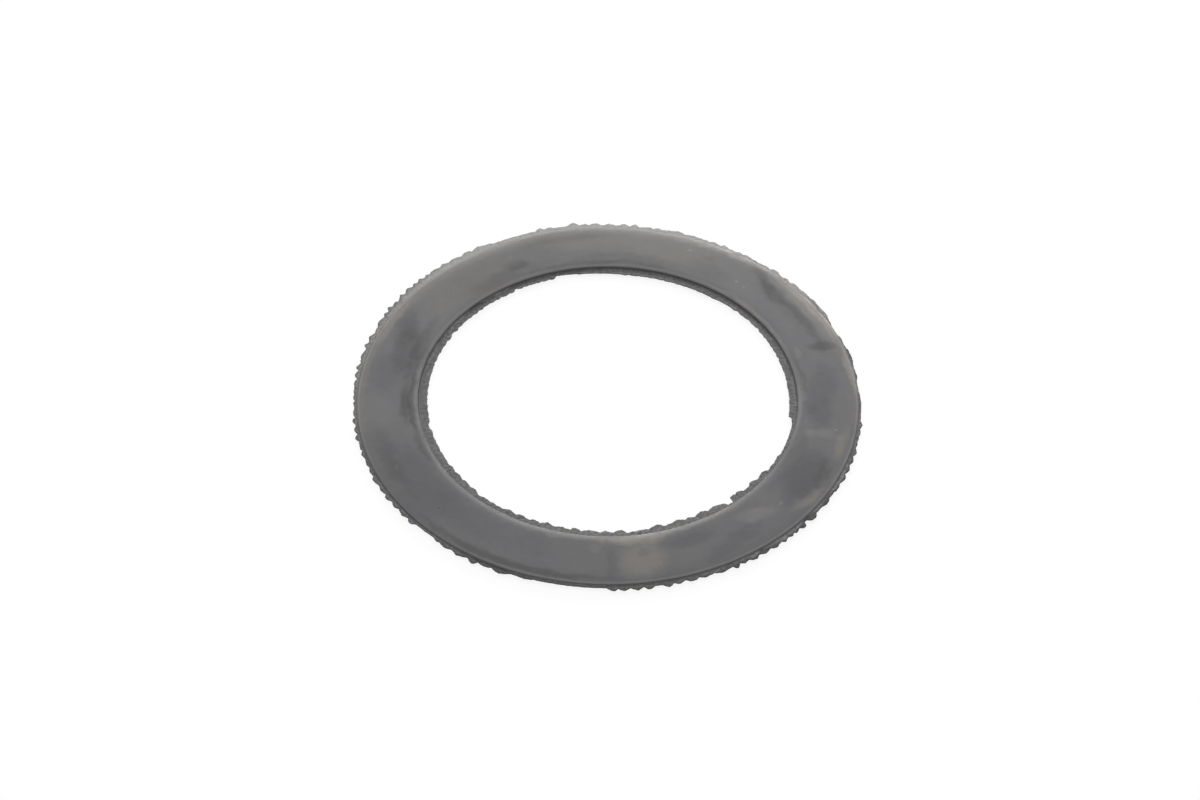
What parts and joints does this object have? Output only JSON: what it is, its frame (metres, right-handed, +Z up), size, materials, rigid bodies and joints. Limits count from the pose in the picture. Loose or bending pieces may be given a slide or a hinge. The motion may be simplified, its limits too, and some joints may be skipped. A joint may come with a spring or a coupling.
{
  "type": "gasket ring",
  "caption": "Flat moulded black rubber gasket ring with soft shoulders and ragged torn flash on its inner and outer edges.",
  "frame": {"origin": "centre of the ring on its flat underside", "axes": "+Z up through the ring's top face, -Y towards the side seen from the front, +X to the right"},
  "size_m": [0.0806, 0.082, 0.0012],
  "materials": {
    "rubber": "matt, faded black with a grey bloom"
  },
  "bodies": {
    "root": {"gasket_ring": "rubber"}
  },
  "joints": []
}
